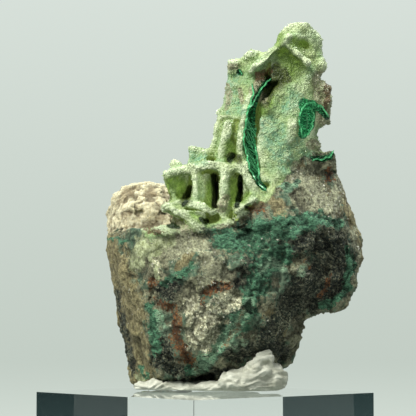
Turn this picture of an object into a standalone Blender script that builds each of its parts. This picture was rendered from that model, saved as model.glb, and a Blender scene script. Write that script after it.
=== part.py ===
"""A malachite and chrysocolla specimen with a quartz-coated boxwork top, set in white putty on a clear display block.

All lengths below are in millimetres and are turned into metres by the mesh builders. X runs to the right, Y away
from the viewer and Z up. The origin is on the underside of the block, at its centre. Heights of the specimen and
of the putty are counted from the top of the block.
"""

import math

import bmesh
import bpy
from mathutils import Matrix, Vector, noise

MM = 0.001

# The display block: a square prism that stands with one corner towards the viewer.
BLOCK_SIDE = 38.1
BLOCK_HEIGHT = 19.05
BLOCK_TURN_DEG = 41.95
BLOCK_BEVEL = 0.35

# The gaps that neighbouring pieces keep, how finely the pieces are fused, and their triangle budgets.
SEAT_GAP = 0.2
PIECE_GAP = 0.3
STONE_VOXEL = 0.4
STONE_TRIANGLES = 8600
PUTTY_VOXEL = 0.4
PUTTY_TRIANGLES = 1200

# Fracture roughness: wavelength and height of each octave, on the host rock and on the grown tower.
ROCK_ROUGHNESS = ((7.0, 0.55), (2.8, 0.5), (1.5, 0.22))
TOWER_ROUGHNESS = ((4.0, 0.22), (1.5, 0.2))
TOWER_FOOT = 27.0
TOWER_BLEND = 6.0


def clear_scene():
    for obj in list(bpy.data.objects):
        bpy.data.objects.remove(obj)


def material(name, colour, roughness, metallic=0.0):
    made = bpy.data.materials.new(name)
    made.use_nodes = True
    shader = made.node_tree.nodes["Principled BSDF"]
    shader.inputs["Base Color"].default_value = (*colour, 1.0)
    shader.inputs["Roughness"].default_value = roughness
    shader.inputs["Metallic"].default_value = metallic
    return made


def new_object(name, bm):
    mesh = bpy.data.meshes.new(name)
    bm.to_mesh(mesh)
    bm.free()
    obj = bpy.data.objects.new(name, mesh)
    bpy.context.scene.collection.objects.link(obj)
    return obj


def place(x, y, height):
    """A point given by its height above the block's top, in metres."""
    return Vector((x, y, height + BLOCK_HEIGHT)) * MM


def add_hull(bm, corners):
    """Adds the smallest convex chunk that holds the corners."""
    made = [bm.verts.new(place(*corner)) for corner in corners]
    result = bmesh.ops.convex_hull(bm, input=made)
    unused = result["geom_interior"] + result["geom_unused"]
    spare = {element for element in unused if isinstance(element, bmesh.types.BMVert)}
    bmesh.ops.delete(bm, geom=list(spare), context="VERTS")


def add_plate(bm, start, end, front, back, thickness, lean=0.0):
    """Adds a flat crystal plate whose front edge runs from start to end, (x, height), and which goes back in depth.

    lean moves its back edge sideways, so that one of its faces turns to the viewer.
    """
    along = Vector((end[0] - start[0], end[1] - start[1])).normalized()
    across = Vector((-along.y, along.x)) * thickness / 2
    corners = []
    for depth, shift in ((front, 0.0), (back, lean)):
        for point in (Vector(start), Vector(end)):
            for side in (across, -across):
                edge = point + side
                corners.append((edge.x + shift, depth, edge.y))
    add_hull(bm, corners)


def add_ledge(bm, line, front, back, thickness):
    """Adds a run of plates along a line of (x, height) points."""
    for start, end in zip(line, line[1:]):
        add_plate(bm, start, end, front, back, thickness)


def add_fin(bm, top, foot, edge, face, front, deep, back):
    """Adds an upright fin: a narrow front edge, then a face that slants back to the right, solid behind it.

    top and foot are the (x, height) ends of its left side; edge and face are the widths of its two fronts.
    """
    corners = []
    for x, height in (top, foot):
        corners += [(x, front, height), (x + edge, front - 0.1, height), (x + edge + face, deep, height)]
        corners += [(x + 0.3, back, height), (x + edge + face, back, height)]
    add_hull(bm, corners)


def add_knob(bm, centre, radii):
    """Adds a rounded lump."""
    size = Matrix.Diagonal((radii[0] * MM, radii[1] * MM, radii[2] * MM, 1.0))
    bmesh.ops.create_icosphere(bm, subdivisions=2, radius=1.0, matrix=Matrix.Translation(place(*centre)) @ size)


def add_prism(bm, outline, front, back, shrink):
    """Adds a convex prism from an outline of (x, height) points; its back end is shrunk towards its middle."""
    middle = sum((Vector(point) for point in outline), Vector((0, 0))) / len(outline)
    corners = [(x, front, height) for x, height in outline]
    for point in outline:
        inner = middle + (Vector(point) - middle) * shrink
        corners.append((inner.x, back, inner.y))
    add_hull(bm, corners)


def add_matrix_rock(bm):
    """The host rock: its broad left part on the foot, and its right shoulder under the tower."""
    add_hull(bm, (
        (-7.2, 0.0, 2.3), (-3.5, -2.0, 2.2), (0.5, -2.2, 2.9), (5.0, -2.0, 2.4), (10.0, 1.0, 3.8),
        (13.9, 5.0, 4.6), (11.5, 11.0, 3.0), (5.0, 14.0, 0.9), (-4.0, 14.5, 0.5), (-10.4, 12.5, 0.4),
        (-11.7, 7.0, 0.8), (-12.5, 12.0, 4.5), (-8.4, -1.2, 6.0), (-9.0, -3.2, 12.0), (-3.0, -7.6, 12.0),
        (2.5, -8.4, 12.5), (10.0, -5.5, 10.5), (16.0, 1.5, 10.0), (15.8, 11.0, 11.0), (6.0, 16.6, 9.0),
        (-6.0, 18.0, 10.0), (-13.8, 14.0, 12.0), (-13.3, -0.8, 19.0), (-9.5, -4.5, 22.0), (-15.4, 6.0, 21.0),
        (-15.4, 5.0, 25.0), (-16.3, 14.0, 25.6), (-12.0, 18.6, 23.5), (-2.0, -8.0, 21.0), (6.0, -8.4, 20.0),
        (13.0, -6.5, 19.0), (4.0, -5.0, 27.0), (-5.0, -4.5, 25.5), (1.0, 17.6, 25.0), (12.0, 14.0, 24.0),
    ))
    add_hull(bm, (
        (16.4, 0.5, 11.6), (20.0, 0.8, 12.9), (22.9, 1.5, 13.8), (24.8, 2.5, 17.4), (26.0, 3.5, 21.0),
        (26.0, 4.5, 23.4), (25.1, 5.0, 26.0), (23.4, 5.5, 29.8), (22.8, 6.0, 32.4), (21.5, 6.0, 36.6),
        (18.0, 4.0, 37.6), (9.0, -6.6, 17.0), (16.0, -4.4, 17.0), (21.0, -1.4, 18.4), (8.0, -7.4, 26.0),
        (15.0, -6.0, 26.6), (21.0, -2.2, 26.2), (7.0, -4.0, 32.0), (14.0, -2.4, 35.0),
        (14.0, 13.0, 12.0), (20.0, 12.0, 16.4), (22.0, 12.5, 24.0), (19.0, 12.0, 33.0), (8.0, 14.0, 34.0),
        (4.0, 16.0, 24.0),
    ))


def add_rock_chunks(bm):
    """The low blocks and ribs that stand out of the rock's front, and the lip of its left ledge."""
    add_hull(bm, (
        (-6.4, -6.4, 13.5), (-1.0, -8.6, 13.6), (4.4, -9.2, 15.0), (5.2, -8.8, 20.0), (0.6, -9.0, 22.4),
        (-4.6, -7.4, 21.0), (-4.0, -3.0, 17.0), (3.0, -3.0, 17.0),
    ))
    add_hull(bm, (
        (-4.6, -4.6, 5.6), (0.6, -5.6, 5.8), (2.2, -8.2, 10.6), (0.8, -8.9, 13.4), (-3.8, -7.6, 13.2),
        (-6.2, -5.4, 10.0), (-2.0, -1.0, 9.0),
    ))
    add_hull(bm, (
        (9.2, -7.2, 20.4), (7.0, -8.2, 17.0), (3.4, -7.8, 10.0), (1.2, -6.0, 5.6), (3.6, -5.4, 6.0),
        (6.2, -7.2, 10.4), (9.4, -7.4, 16.4), (6.0, -3.0, 12.0),
    ))
    add_hull(bm, (
        (-12.9, -1.4, 22.6), (-9.2, -4.6, 22.2), (-6.6, -5.4, 23.4), (-7.2, -4.8, 26.0), (-12.4, -1.6, 25.9),
        (-13.0, 2.0, 25.6), (-8.0, 2.0, 25.8), (-10.0, -1.0, 21.0),
    ))
    add_hull(bm, (
        (9.6, -7.6, 22.0), (17.0, -6.0, 21.6), (20.6, -3.0, 24.2), (18.4, -4.6, 27.4), (11.4, -7.2, 27.2),
        (13.0, -2.0, 24.0),
    ))


def add_back_steps(bm):
    """The broken steps of the rock's back and of the tower's back."""
    add_hull(bm, (
        (-8.0, 17.0, 8.0), (4.0, 17.6, 6.4), (7.6, 18.0, 14.0), (5.0, 20.4, 19.0), (-3.6, 20.8, 20.4),
        (-10.4, 18.6, 17.0), (-2.0, 12.0, 12.0), (2.0, 18.6, 23.0),
    ))
    add_hull(bm, (
        (9.0, 14.0, 12.6), (18.0, 13.0, 14.6), (21.0, 13.4, 21.6), (16.4, 15.8, 27.0), (8.6, 17.0, 24.0),
        (12.0, 8.0, 20.0), (10.4, 16.4, 18.0),
    ))
    add_hull(bm, (
        (6.6, 9.0, 33.0), (15.6, 9.6, 32.6), (16.8, 8.4, 38.6), (13.4, 7.4, 44.0), (7.4, 8.2, 40.0),
        (10.0, 10.8, 35.0), (11.0, 5.0, 38.0),
    ))
    add_hull(bm, (
        (-15.0, 15.0, 16.0), (-9.0, 19.4, 15.0), (-5.0, 20.0, 24.6), (-13.6, 19.0, 27.0), (-16.0, 15.0, 24.0),
        (-10.0, 12.0, 20.0),
    ))


def add_tower(bm):
    """The grown tower: its trunk behind the boxwork, its crooked head and the wall at the back of the cells."""
    add_hull(bm, (
        (3.0, -2.5, 31.0), (12.0, -3.8, 33.0), (17.3, 0.0, 36.0), (17.8, 8.0, 36.0), (6.0, 9.5, 33.0),
        (1.0, 6.0, 32.0), (3.4, 0.6, 47.6), (2.7, 1.0, 43.6), (3.8, 6.5, 48.0), (9.0, -2.5, 44.0),
        (14.5, -2.0, 45.0), (16.2, 0.0, 42.0), (16.4, 6.5, 44.0), (3.9, 1.2, 50.4), (4.2, 1.2, 52.7),
        (5.6, 1.6, 53.4), (5.0, 5.5, 53.0), (8.4, 0.6, 54.6), (10.6, 0.5, 54.6), (17.0, 0.0, 51.0),
        (18.8, 2.0, 53.0), (18.4, 6.0, 53.0), (18.2, 2.0, 49.8),
    ))
    add_hull(bm, (
        (11.0, 1.5, 54.5), (12.0, 1.5, 57.4), (12.8, 1.2, 58.6), (14.4, 0.4, 59.2), (17.0, 0.8, 59.2),
        (18.8, 1.8, 57.2), (19.2, 2.2, 55.2), (18.8, 2.4, 52.5), (11.0, 6.0, 54.0), (13.0, 6.5, 58.0),
        (17.0, 7.0, 58.4), (18.6, 7.0, 53.0), (14.0, -0.6, 53.5),
    ))
    add_hull(bm, (
        (-5.5, 3.0, 27.0), (-5.5, 3.2, 34.5), (9.5, 2.6, 36.0), (9.5, 2.6, 26.0), (9.0, 9.0, 36.0),
        (-3.0, 8.0, 35.0), (-3.0, 9.0, 26.0), (1.0, 3.5, 37.5), (2.0, 8.0, 38.5),
    ))


def add_cream_lump(bm):
    """The pale weathered lump at the back left."""
    add_hull(bm, (
        (-15.9, 9.0, 26.0), (-16.1, 17.0, 28.5), (-15.4, 11.0, 31.4), (-13.6, 10.5, 33.6), (-9.0, 10.0, 34.4),
        (-5.6, 11.0, 33.6), (-4.0, 11.0, 29.0), (-5.4, 4.6, 26.0), (-12.5, 5.0, 26.0), (-7.0, 18.0, 31.5),
        (-13.4, 18.0, 31.5), (-9.0, 20.0, 25.0), (-15.8, 18.0, 24.0), (-8.0, 5.4, 29.6), (-12.8, 6.2, 30.0),
    ))


def add_right_edge(bm):
    """The broken lumps down the right side of the tower, and the green-edged ledge under its notch."""
    for centre, radii in (
        ((18.4, 3.0, 43.9), (2.0, 2.2, 1.6)),
        ((19.0, 3.0, 46.3), (1.8, 2.1, 1.9)),
        ((18.6, 2.8, 48.4), (2.0, 2.0, 1.5)),
        ((17.0, 2.6, 46.8), (2.2, 2.6, 2.6)),
        ((18.8, 2.6, 52.4), (1.1, 1.5, 1.4)),
        ((17.4, 3.0, 39.3), (1.5, 2.2, 1.5)),
        ((3.0, 1.6, 44.7), (1.2, 1.3, 0.9)),
        ((4.7, 0.9, 52.3), (1.3, 1.3, 1.1)),
        ((7.4, 0.9, 53.8), (1.1, 1.3, 0.8)),
    ):
        add_knob(bm, centre, radii)
    add_hull(bm, (
        (17.6, 1.2, 35.6), (21.6, 2.0, 35.0), (21.5, 2.4, 37.6), (20.7, 2.4, 38.7), (19.3, 3.0, 37.8),
        (17.2, 2.2, 37.4), (21.4, 6.0, 37.0), (17.6, 6.0, 36.0),
    ))


def add_boxwork(bm):
    """The cells of thin crossing plates on the left of the tower: shelves, fins between them, and curved ledges."""
    top_shelf = ((-6.3, 33.9), (-3.7, 34.9), (0.4, 35.6), (4.1, 35.3), (7.0, 35.8))
    add_ledge(bm, top_shelf, -4.4, 5.0, 1.3)
    add_fin(bm, (-6.5, 33.8), (-4.9, 29.6), 0.6, 2.2, -3.0, 0.6, 4.5)
    add_fin(bm, (-2.0, 35.2), (-1.8, 28.8), 0.8, 2.2, -4.6, -1.0, 4.5)
    add_fin(bm, (2.4, 35.0), (2.3, 27.6), 0.9, 2.2, -4.9, -1.6, 4.5)
    add_ledge(bm, ((5.8, 35.7), (7.2, 32.6), (9.2, 29.8)), -5.0, 1.0, 1.25)
    add_plate(bm, (7.6, 30.8), (5.0, 28.2), -5.8, 0.5, 1.2)
    add_ledge(bm, ((-6.8, 28.7), (-4.0, 29.8), (-1.2, 29.5), (1.7, 28.2)), -5.6, 3.0, 1.2)
    add_ledge(bm, ((-5.4, 28.6), (-3.2, 27.7), (-1.0, 26.2), (0.0, 24.8)), -6.8, 0.0, 1.2)
    add_ledge(bm, ((-8.4, 25.2), (-4.6, 25.6), (-2.0, 24.6)), -6.2, 2.0, 1.4)
    add_hull(bm, (
        (-2.9, 0.2, 35.4), (0.3, -0.6, 35.4), (-2.6, 0.2, 39.3), (0.3, -0.4, 38.6), (0.8, 3.4, 38.9),
        (-1.6, 3.8, 39.3), (-1.8, 4.0, 35.4), (1.0, 3.6, 35.4),
    ))
    add_knob(bm, (-4.6, 0.3, 35.9), (1.1, 1.1, 1.1))
    add_plate(bm, (0.9, 37.0), (2.3, 42.9), 0.2, 4.5, 1.2, 0.8)
    add_ledge(bm, ((2.6, 36.4), (3.2, 39.5), (4.0, 43.0)), -2.4, 3.0, 1.2)
    add_ledge(bm, ((5.7, 35.8), (5.6, 38.6), (5.9, 41.0), (6.6, 45.0)), -3.5, 2.0, 1.1)
    add_plate(bm, (6.6, 45.0), (8.6, 49.0), -2.6, 2.0, 1.0)
    add_knob(bm, (2.8, 1.2, 43.6), (0.9, 1.0, 1.2))


def add_roof_ridges(bm):
    """The two bands that meet like rafters over the hollow near the top of the tower, and the knob below them."""
    add_ledge(bm, ((13.8, 56.7), (11.1, 54.3), (9.0, 52.3), (7.0, 50.6)), -2.0, 3.0, 1.15)
    add_ledge(bm, ((13.2, 55.4), (15.2, 53.6), (16.6, 51.8)), -2.1, 4.0, 1.1)
    add_knob(bm, (9.9, -1.2, 44.6), (1.0, 1.4, 1.5))


def cut_hollows(bm):
    """Open spaces between the plates, the slit of the malachite vein, the hollow under the ridges, and pits."""
    add_prism(bm, ((-5.9, 34.2), (-1.8, 34.9), (-1.8, 29.6), (-4.2, 30.0)), -7.0, 2.6, 0.85)
    add_prism(bm, ((-1.4, 34.9), (2.6, 34.8), (2.4, 28.6), (-1.3, 29.6)), -7.0, 2.8, 0.85)
    add_prism(bm, ((2.8, 34.7), (5.8, 34.9), (8.0, 31.0), (4.6, 28.5), (2.8, 28.7)), -7.0, 2.2, 0.75)
    add_prism(bm, ((-3.0, 29.0), (0.6, 28.3), (0.4, 26.6), (-1.4, 27.4)), -9.5, -1.6, 0.6)
    add_prism(bm, ((-6.0, 27.6), (-3.4, 27.0), (-2.2, 25.8), (-5.6, 26.2)), -9.5, -1.8, 0.6)
    add_prism(bm, ((5.8, 29.6), (7.9, 30.0), (8.1, 29.0), (5.6, 27.9)), -9.5, -2.6, 0.6)
    add_prism(bm, ((8.8, 33.2), (10.6, 33.6), (10.8, 32.2), (9.0, 31.2)), -9.5, -1.8, 0.6)
    add_prism(bm, ((3.6, 39.9), (5.2, 40.3), (5.3, 36.4), (3.2, 36.3)), -7.0, 1.4, 0.75)
    add_prism(bm, ((4.2, 42.8), (5.3, 43.0), (5.0, 41.3), (4.2, 41.2)), -7.0, 0.8, 0.6)
    add_prism(bm, ((6.4, 42.4), (6.1, 39.4), (6.5, 36.6), (8.2, 37.0), (8.7, 39.4), (8.9, 42.6)), -7.0, 1.8, 0.8)
    add_prism(bm, ((6.5, 37.2), (7.2, 35.0), (8.4, 32.8), (9.0, 35.0), (8.4, 37.8)), -7.0, 1.4, 0.8)
    add_prism(bm, ((6.5, 42.0), (7.0, 44.6), (8.0, 46.8), (9.2, 46.0), (9.3, 43.4), (8.8, 41.6)), -7.0, 2.0, 0.8)
    add_prism(bm, ((7.6, 45.8), (8.6, 48.2), (10.5, 50.0), (12.0, 49.4), (10.6, 47.2), (9.0, 45.6)), -7.0, 2.6, 0.8)
    add_prism(bm, ((13.4, 54.9), (9.4, 51.6), (9.2, 49.8), (10.8, 48.2), (13.0, 49.4), (15.7, 52.3)), -7.0, 3.0, 0.72)
    add_prism(bm, ((14.2, 56.9), (17.2, 56.4), (17.4, 53.8), (14.8, 55.2)), -6.0, 2.4, 0.6)
    add_prism(bm, ((15.2, 45.4), (16.4, 46.2), (17.9, 45.6), (18.2, 44.2), (16.6, 41.2), (16.2, 39.8), (15.1, 40.8)), -6, 2, 0.8)
    add_prism(bm, ((4.0, 50.0), (5.4, 50.4), (5.2, 48.8), (4.2, 48.6)), -6.0, 2.0, 0.6)
    add_prism(bm, ((-2.8, 3.0), (2.2, 3.4), (1.8, 0.6), (-2.6, 0.6)), -9.0, 5.0, 0.8)
    for centre, radii in (
        ((-12.2, 7.0, 31.2), (1.5, 1.8, 1.2)), ((-8.6, 6.6, 31.4), (1.4, 1.8, 1.0)),
        ((-10.6, 5.4, 29.0), (1.2, 1.4, 0.9)), ((-13.6, 7.4, 27.8), (1.0, 1.4, 0.8)),
        ((-6.6, 6.8, 29.0), (0.9, 1.4, 0.7)), ((-11.4, 12.6, 34.4), (1.6, 2.0, 1.0)),
    ):
        add_knob(bm, centre, radii)


def seat_putty(bm):
    """Pressed wads of putty joined under the stone: a low pad at the left and folded lobes at the right."""
    for centre, radii in (
        ((-9.6, 3.4, 0.7), (2.0, 2.8, 1.0)),
        ((-6.4, 1.6, 0.9), (3.2, 2.6, 1.4)),
        ((-2.6, 0.6, 0.6), (3.4, 2.8, 0.9)),
        ((1.6, -1.2, 0.7), (3.6, 2.8, 1.0)),
        ((3.0, 4.0, 0.5), (6.4, 4.6, 1.1)),
        ((5.6, -3.4, 1.8), (3.7, 2.4, 2.0)),
        ((8.2, -3.6, 3.2), (2.3, 1.6, 1.8)),
        ((9.3, -3.0, 5.2), (2.1, 1.0, 1.9)),
        ((8.6, -2.4, 1.0), (2.6, 2.2, 1.3)),
        ((10.9, -1.2, 2.2), (2.4, 2.8, 2.3)),
    ):
        add_knob(bm, centre, radii)


def evaluated(obj):
    """The mesh that the object's modifiers make, as a bmesh."""
    graph = bpy.context.evaluated_depsgraph_get()
    bm = bmesh.new()
    bm.from_object(obj, graph)
    return bm


def discard(*objects):
    for obj in objects:
        bpy.data.objects.remove(obj)


def add_remesh(obj, voxel):
    fuse = obj.modifiers.new("fuse", "REMESH")
    fuse.mode = "VOXEL"
    fuse.voxel_size = voxel * MM


def add_cut(obj, cutter):
    cut = obj.modifiers.new("cut", "BOOLEAN")
    cut.operation = "DIFFERENCE"
    cut.solver = "EXACT"
    cut.object = cutter


def add_decimate(obj, triangles, faces_now):
    thin = obj.modifiers.new("thin", "DECIMATE")
    thin.ratio = triangles / faces_now


def connected_parts(bm):
    """The mesh's loose parts, each a set of vertices, smallest first."""
    left, parts = set(bm.verts), []
    while left:
        part, front = set(), [left.pop()]
        while front:
            vert = front.pop()
            part.add(vert)
            for edge in vert.link_edges:
                other = edge.other_vert(vert)
                if other in left:
                    left.discard(other)
                    front.append(other)
        parts.append(part)
    return sorted(parts, key=len)


def keep_largest_part(bm):
    spare = [vert for part in connected_parts(bm)[:-1] for vert in part]
    bmesh.ops.delete(bm, geom=spare, context="VERTS")


def fractal(point, octaves):
    return sum(height * noise.noise(point / (wavelength * MM)) for wavelength, height in octaves)


def roughen(bm):
    """Moves the surface in and out along its normals by smooth noise, coarser on the rock than on the tower."""
    bm.normal_update()
    moves = []
    for vert in bm.verts:
        height = vert.co.z / MM - BLOCK_HEIGHT
        tower = min(max((height - TOWER_FOOT) / TOWER_BLEND, 0.0), 1.0)
        move = (1 - tower) * fractal(vert.co, ROCK_ROUGHNESS) + tower * fractal(vert.co, TOWER_ROUGHNESS)
        moves.append(vert.normal * move * MM)
    for vert, move in zip(bm.verts, moves):
        vert.co += move


def make_block(finish):
    bm = bmesh.new()
    bmesh.ops.create_cube(bm, size=1.0)
    bmesh.ops.scale(bm, vec=Vector((BLOCK_SIDE, BLOCK_SIDE, BLOCK_HEIGHT)) * MM, verts=bm.verts)
    bmesh.ops.translate(bm, vec=(0, 0, BLOCK_HEIGHT * MM / 2), verts=bm.verts)
    bmesh.ops.bevel(bm, geom=bm.edges, offset=BLOCK_BEVEL * MM, segments=1, affect="EDGES")
    block = new_object("display_block", bm)
    block.rotation_euler.z = math.radians(BLOCK_TURN_DEG)
    block.data.materials.append(finish)


def hollowed_rock():
    """The chunks of rock and tower fused in one solid, with its hollows cut out."""
    chunks = bmesh.new()
    for add in (add_matrix_rock, add_rock_chunks, add_back_steps, add_tower, add_cream_lump, add_right_edge):
        add(chunks)
    rock = new_object("rock_chunks", chunks)
    add_remesh(rock, STONE_VOXEL)
    hollows = bmesh.new()
    cut_hollows(hollows)
    cutter = new_object("hollow_cutters", hollows)
    add_remesh(cutter, STONE_VOXEL)
    add_cut(rock, cutter)
    shaped = evaluated(rock)
    discard(rock, cutter)
    return shaped


def make_stone(finish):
    """The whole specimen: the hollowed rock and the thin plates fused in one rough solid."""
    shaped = hollowed_rock()
    add_boxwork(shaped)
    add_roof_ridges(shaped)
    rough = new_object("stone_rough", shaped)
    add_remesh(rough, STONE_VOXEL)
    fused = evaluated(rough)
    discard(rough)
    keep_largest_part(fused)
    roughen(fused)
    bmesh.ops.triangulate(fused, faces=fused.faces)
    count = len(fused.faces)
    stone = new_object("specimen", fused)
    add_decimate(stone, STONE_TRIANGLES, count)
    stone.data.materials.append(finish)
    return stone


def cut_flat_below(bm, level):
    """Cuts the mesh off at a level and closes the cut with flat faces."""
    everything = bm.verts[:] + bm.edges[:] + bm.faces[:]
    base = place(0, 0, level)
    bmesh.ops.bisect_plane(bm, geom=everything, dist=1e-7, plane_co=base, plane_no=(0, 0, -1), clear_outer=True)
    rim = [edge for edge in bm.edges if edge.is_boundary]
    bmesh.ops.triangle_fill(bm, use_beauty=True, edges=rim, normal=(0, 0, -1))
    bmesh.ops.recalc_face_normals(bm, faces=bm.faces)


def make_putty(finish, stone):
    """The putty's wads, pressed flat on the block and cut back from the stone by the gap."""
    wads = bmesh.new()
    seat_putty(wads)
    lump = new_object("putty_wads", wads)
    add_remesh(lump, PUTTY_VOXEL)
    cutter = new_object("stone_print", evaluated(stone))
    add_remesh(cutter, PUTTY_VOXEL)
    swell = cutter.modifiers.new("swell", "DISPLACE")
    swell.strength = 1.5 * PIECE_GAP * MM
    swell.mid_level = 0.0
    add_cut(lump, cutter)
    pressed = evaluated(lump)
    discard(lump, cutter)
    keep_largest_part(pressed)
    cut_flat_below(pressed, SEAT_GAP)
    bmesh.ops.triangulate(pressed, faces=pressed.faces)
    count = len(pressed.faces)
    putty = new_object("putty", pressed)
    add_decimate(putty, PUTTY_TRIANGLES, count)
    putty.data.materials.append(finish)


def main():
    clear_scene()
    make_block(material("clear_acrylic", (0.86, 0.90, 0.89), 0.05))
    stone = make_stone(material("copper_ore", (0.19, 0.24, 0.15), 0.7))
    bpy.context.view_layer.update()
    make_putty(material("white_putty", (0.75, 0.76, 0.68), 0.8), stone)


main()
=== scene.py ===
import math
import random

import bmesh
import bpy
import numpy as np
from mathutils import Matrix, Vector, noise
from mathutils.bvhtree import BVHTree


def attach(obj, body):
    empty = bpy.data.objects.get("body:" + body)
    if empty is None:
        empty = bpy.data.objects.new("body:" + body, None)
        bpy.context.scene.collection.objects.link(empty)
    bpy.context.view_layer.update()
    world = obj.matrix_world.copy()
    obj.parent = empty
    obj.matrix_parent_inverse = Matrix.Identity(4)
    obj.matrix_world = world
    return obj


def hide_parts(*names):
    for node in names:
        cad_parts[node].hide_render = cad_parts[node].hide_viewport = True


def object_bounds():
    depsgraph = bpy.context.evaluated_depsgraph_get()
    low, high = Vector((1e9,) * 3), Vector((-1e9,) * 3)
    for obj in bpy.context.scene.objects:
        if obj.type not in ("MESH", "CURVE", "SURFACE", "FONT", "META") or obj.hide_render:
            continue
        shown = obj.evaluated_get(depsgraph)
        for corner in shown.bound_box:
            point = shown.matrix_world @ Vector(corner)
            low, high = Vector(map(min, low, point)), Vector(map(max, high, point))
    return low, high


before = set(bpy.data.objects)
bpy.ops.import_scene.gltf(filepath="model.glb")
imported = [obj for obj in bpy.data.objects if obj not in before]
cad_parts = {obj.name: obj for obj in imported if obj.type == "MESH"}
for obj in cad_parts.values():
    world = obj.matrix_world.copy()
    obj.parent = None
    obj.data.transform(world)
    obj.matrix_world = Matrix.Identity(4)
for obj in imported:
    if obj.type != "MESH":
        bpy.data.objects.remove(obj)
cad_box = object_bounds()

# A malachite and chrysocolla specimen, set in white putty on a clear display block. Lengths are in mm where
# a name or comment doesn't say otherwise, and MM turns them into the frame's metres.
MM = 0.001

# Camera: a long lens 27 cm away, a little over the level of the block's top and tipped up slightly, as for a
# catalogue picture. The frame cuts the block off below its upper edge.
EYE = Vector((0.6, -270.0, 31.2))
AIM = Vector((0.6, 0.0, 48.2))
LENS = 147.0
SENSOR = 36.0
LOOK = (AIM - EYE).normalized()

bpy.ops.object.camera_add(location=EYE * MM)
camera = bpy.context.object
camera.rotation_euler = LOOK.to_track_quat("-Z", "Y").to_euler()
camera.data.lens = LENS
camera.data.sensor_width = SENSOR
camera.data.clip_start = 0.01
camera.data.clip_end = 20.0
bpy.context.scene.camera = camera


# Studio: a tent of pale paper, whose floor sweeps up all round into a low wall that glows evenly, open at
# the top. Dark cloths lie and hang at the two sides, and only the clear block and glossy faces show them.
# Here lengths are in metres.
FLOOR_RADIUS = 0.9
SWEEP_RADIUS = 0.5
WALL_HEIGHT = 1.5
SWEEP_STEPS = 12
BOWL_SIDES = 96
MATT = 0.9
PAPER_COLOUR = (0.08, 0.082, 0.08)
FLOOR_GLOW = (0.495, 0.560, 0.505)
WALL_GLOW = (0.675, 0.740, 0.695)
GLOW_RISE = 0.45
CLOTH_COLOUR = (0.014, 0.024, 0.024)
SKY_COLOUR = (0.88, 0.93, 0.90)
SKY_STRENGTH = 0.56


def new_material(name):
    """A material, with its node tree and its shader."""
    made = bpy.data.materials.new(name)
    made.use_nodes = True
    return made, made.node_tree, made.node_tree.nodes["Principled BSDF"]


def feed(tree, node, values):
    """Gives a node's inputs their values; each is a number, a colour or the socket that feeds the input."""
    for name, value in values.items():
        socket = node.inputs[name]
        if isinstance(value, bpy.types.NodeSocket):
            tree.links.new(value, socket)
        elif socket.type == "RGBA":
            socket.default_value = (*value, 1.0)
        else:
            socket.default_value = value


def mixed(tree, share, first, second, blend="MIX"):
    """Mixes two colours."""
    node = tree.nodes.new("ShaderNodeMix")
    node.data_type = "RGBA"
    node.blend_type = blend
    feed(tree, node, {0: share, 6: first, 7: second})
    return node.outputs[2]


def object_place(tree):
    """The place on the piece that a pattern is read at."""
    return tree.nodes.new("ShaderNodeTexCoord").outputs["Object"]


def matt_material(name, colour):
    made, tree, shader = new_material(name)
    feed(tree, shader, {"Base Color": colour, "Roughness": MATT, "Specular IOR Level": 0.0})
    return made


def studio_bowl():
    bpy.ops.object.select_all(action="DESELECT")
    bpy.ops.mesh.primitive_circle_add(vertices=BOWL_SIDES, radius=FLOOR_RADIUS, fill_type="TRIFAN")
    bowl = bpy.context.object
    bowl.name = "studio_bowl"
    bpy.ops.object.mode_set(mode="EDIT")
    bpy.ops.mesh.select_mode(type="EDGE")
    bpy.ops.mesh.select_all(action="SELECT")
    bpy.ops.mesh.region_to_loop()
    rim = [(FLOOR_RADIUS, 0.0)]
    for step in range(1, SWEEP_STEPS + 1):
        turn = math.pi / 2 * step / SWEEP_STEPS
        rim.append((FLOOR_RADIUS + SWEEP_RADIUS * math.sin(turn), SWEEP_RADIUS * (1 - math.cos(turn))))
    rim.append((FLOOR_RADIUS + SWEEP_RADIUS, WALL_HEIGHT))
    for (old_radius, old_height), (radius, height) in zip(rim, rim[1:]):
        bpy.ops.mesh.extrude_region_move(TRANSFORM_OT_translate={"value": (0, 0, height - old_height)})
        wider = radius / old_radius
        bpy.ops.transform.resize(value=(wider, wider, 1), center_override=(0, 0, height))
    bpy.ops.object.mode_set(mode="OBJECT")
    bpy.ops.object.shade_smooth()
    paper = matt_material("studio_paper", PAPER_COLOUR)
    tree = paper.node_tree
    parts = tree.nodes.new("ShaderNodeSeparateXYZ")
    feed(tree, parts, {0: object_place(tree)})
    rise = tree.nodes.new("ShaderNodeMapRange")
    feed(tree, rise, {"Value": parts.outputs["Z"], "From Max": GLOW_RISE})
    glow = mixed(tree, rise.outputs[0], FLOOR_GLOW, WALL_GLOW)
    feed(tree, tree.nodes["Principled BSDF"], {"Emission Color": glow, "Emission Strength": 1.0})
    bowl.data.materials.append(paper)
    bowl.visible_diffuse = False
    return bowl


def dark_cloth(name, place, size, turn):
    """A dark cloth beside the set, seen only in reflections and through the clear block."""
    bpy.ops.mesh.primitive_plane_add(size=1.0, location=place, rotation=(0, turn, 0))
    cloth = bpy.context.object
    cloth.name = name
    cloth.scale = (*size, 1.0)
    cloth.data.materials.append(matt_material(name, CLOTH_COLOUR))
    cloth.visible_camera = False
    cloth.visible_diffuse = False
    cloth.visible_shadow = False
    return cloth


def soft_light(name, place, aim, size, power, colour):
    bpy.ops.object.light_add(type="AREA", location=place)
    light = bpy.context.object
    light.name = name
    light.rotation_euler = (Vector(aim) - Vector(place)).to_track_quat("-Z", "Y").to_euler()
    light.data.size = size
    light.data.energy = power
    light.data.color = colour


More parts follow.
